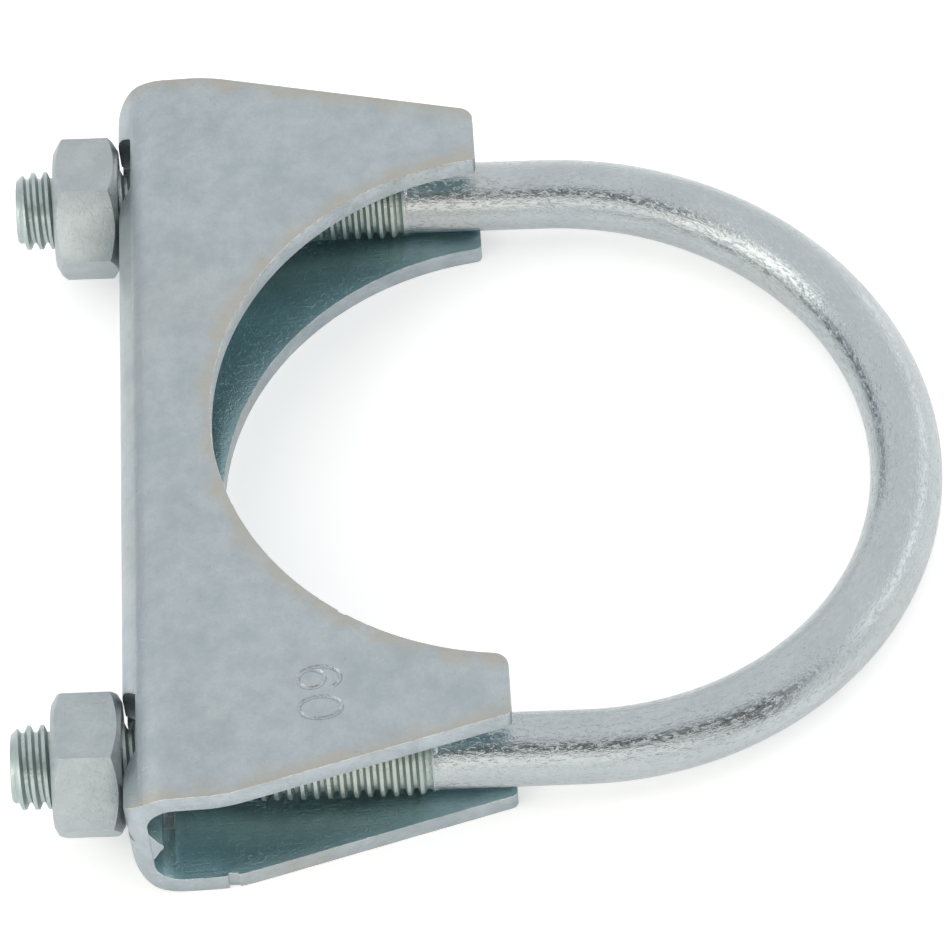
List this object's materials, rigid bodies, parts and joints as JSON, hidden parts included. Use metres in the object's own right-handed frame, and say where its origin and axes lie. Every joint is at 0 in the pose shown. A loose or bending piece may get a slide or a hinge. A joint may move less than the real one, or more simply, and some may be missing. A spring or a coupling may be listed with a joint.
{
  "type": "U-bolt exhaust clamp",
  "caption": "Folded sheet saddle and threaded U-bolt with hex nuts, which clamp a round exhaust pipe between saddle and bow.",
  "frame": {"origin": "on the axis of the pipe seat, half way across the saddle's width", "axes": "+X from the nuts towards the bow, +Y from the right leg to the left leg, +Z along the pipe's axis and up out of the flanges"},
  "size_m": [0.0916, 0.0866, 0.0166],
  "materials": {
    "zinc_sheet": "bright zinc plating, satin",
    "zinc_rod": "bright zinc plating, drawn rod",
    "zinc_nut": "bright zinc plating, matt"
  },
  "bodies": {
    "saddle": {"saddle": "zinc_sheet"},
    "u_bolt": {"u_bolt": "zinc_rod"},
    "left_nut": {"left_nut": "zinc_nut"},
    "right_nut": {"right_nut": "zinc_nut"}
  },
  "joints": [
    {"name": "bolt_slide", "type": "slide", "parent": "saddle", "child": "u_bolt", "axis": [0.9983, 0, -0.0585], "range_m": [-0.026, 0.0035]},
    {"name": "left_nut_turn", "type": "hinge", "parent": "saddle", "child": "left_nut", "pos_m": [-0.04279, 0.03375, -0.00003], "axis": [0.9983, 0, -0.0585], "range_deg": [-1009, 7489]},
    {"name": "right_nut_turn", "type": "hinge", "parent": "saddle", "child": "right_nut", "pos_m": [-0.04279, -0.03375, -0.00003], "axis": [0.9983, 0, -0.0585], "range_deg": [-1009, 7489]}
  ],
  "couplings": [
    {"joint": "left_nut_turn", "follows": "bolt_slide", "rad_per_m": -5026.5},
    {"joint": "right_nut_turn", "follows": "bolt_slide", "rad_per_m": -5026.5}
  ]
}
